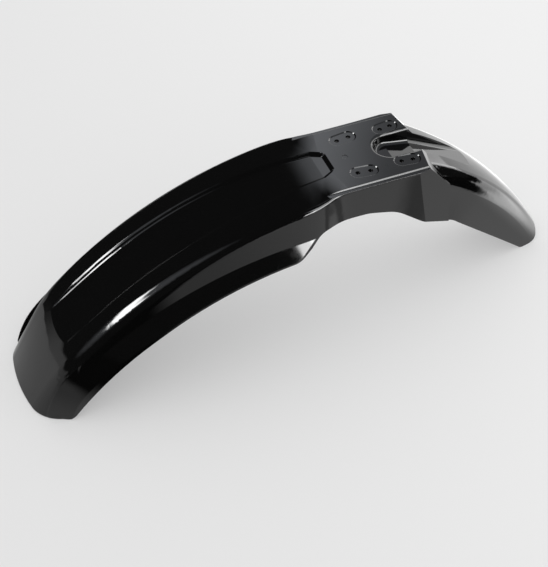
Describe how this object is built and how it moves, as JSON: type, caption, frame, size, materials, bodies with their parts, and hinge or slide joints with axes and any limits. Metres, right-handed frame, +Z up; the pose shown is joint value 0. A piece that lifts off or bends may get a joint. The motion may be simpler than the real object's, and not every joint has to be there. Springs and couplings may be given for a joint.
{
  "type": "motorcycle front mudguard",
  "caption": "Long arched front mudguard shell for a motocross bike: bolt plate with stem recess, sunken channel and lipped front blade, narrow rear blade. Bolts under the fork clamp.",
  "frame": {"origin": "centre of the front bolt square, on the flat top of the bolt plate", "axes": "+X forward along the bike, +Y to the left, +Z up out of the bolt plate"},
  "size_m": [0.7839, 0.19, 0.254],
  "materials": {
    "shell": "gloss black moulded polypropylene"
  },
  "bodies": {
    "root": {"mudguard": "shell"}
  },
  "joints": []
}
